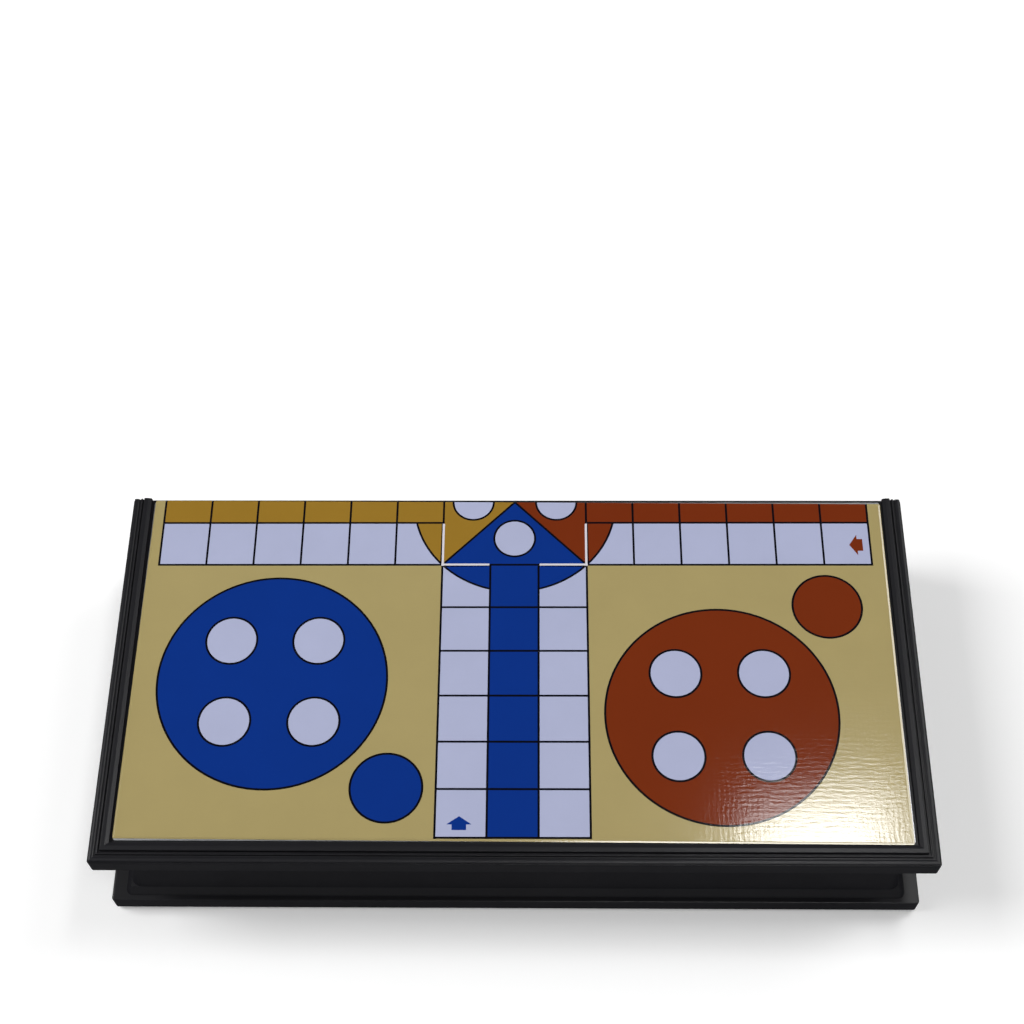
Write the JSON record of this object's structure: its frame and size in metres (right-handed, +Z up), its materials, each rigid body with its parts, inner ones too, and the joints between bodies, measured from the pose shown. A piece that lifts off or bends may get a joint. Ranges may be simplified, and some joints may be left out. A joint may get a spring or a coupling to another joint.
{
  "type": "folding board game box",
  "caption": "Folding plastic board box for ludo, printed steel play faces outside, hinged tray halves with wells for magnetic tokens and a die inside.",
  "frame": {"origin": "on the table, under the centre of the shut box, hinge knuckles included", "axes": "+X along the hinge, +Y from the opening front to the hinge at the back, +Z up out of the upper play face"},
  "size_m": [0.2, 0.1012, 0.0359],
  "materials": {
    "black_plastic": "satin moulded polystyrene",
    "tinplate": "plain tinned sheet",
    "printed_film": "gloss laminate with a fine linen emboss",
    "pin_steel": "drawn wire",
    "die_plastic": "moulded ivory plastic",
    "blue_plastic": "moulded",
    "red_plastic": "moulded",
    "green_plastic": "moulded",
    "yellow_plastic": "moulded",
    "magnet_nickel": "nickel plated"
  },
  "bodies": {
    "lower_half": {"lower_tray": "black_plastic", "lower_steel_sheet": "tinplate", "lower_printed_sheet": "printed_film", "hinge_pin_left": "pin_steel", "hinge_pin_right": "pin_steel", "die": "die_plastic", "token_blue_1": "blue_plastic", "token_blue_2": "blue_plastic", "token_blue_3": "blue_plastic", "token_blue_4": "blue_plastic", "token_red_1": "red_plastic", "token_red_2": "red_plastic", "token_red_3": "red_plastic", "token_red_4": "red_plastic", "token_green_1": "green_plastic", "token_green_2": "green_plastic", "token_green_3": "green_plastic", "token_green_4": "green_plastic", "token_yellow_1": "yellow_plastic", "token_yellow_2": "yellow_plastic", "token_yellow_3": "yellow_plastic", "token_yellow_4": "yellow_plastic", "magnet_blue_1": "magnet_nickel", "magnet_blue_2": "magnet_nickel", "magnet_blue_3": "magnet_nickel", "magnet_blue_4": "magnet_nickel", "magnet_red_1": "magnet_nickel", "magnet_red_2": "magnet_nickel", "magnet_red_3": "magnet_nickel", "magnet_red_4": "magnet_nickel", "magnet_green_1": "magnet_nickel", "magnet_green_2": "magnet_nickel", "magnet_green_3": "magnet_nickel", "magnet_green_4": "magnet_nickel", "magnet_yellow_1": "magnet_nickel", "magnet_yellow_2": "magnet_nickel", "magnet_yellow_3": "magnet_nickel", "magnet_yellow_4": "magnet_nickel"},
    "upper_half": {"upper_tray": "black_plastic", "upper_steel_sheet": "tinplate", "upper_printed_sheet": "printed_film"}
  },
  "joints": [
    {"name": "fold", "type": "hinge", "parent": "lower_half", "child": "upper_half", "pos_m": [0, 0.048, 0.01795], "axis": [-1, 0, 0], "range_deg": [0, 180]}
  ]
}
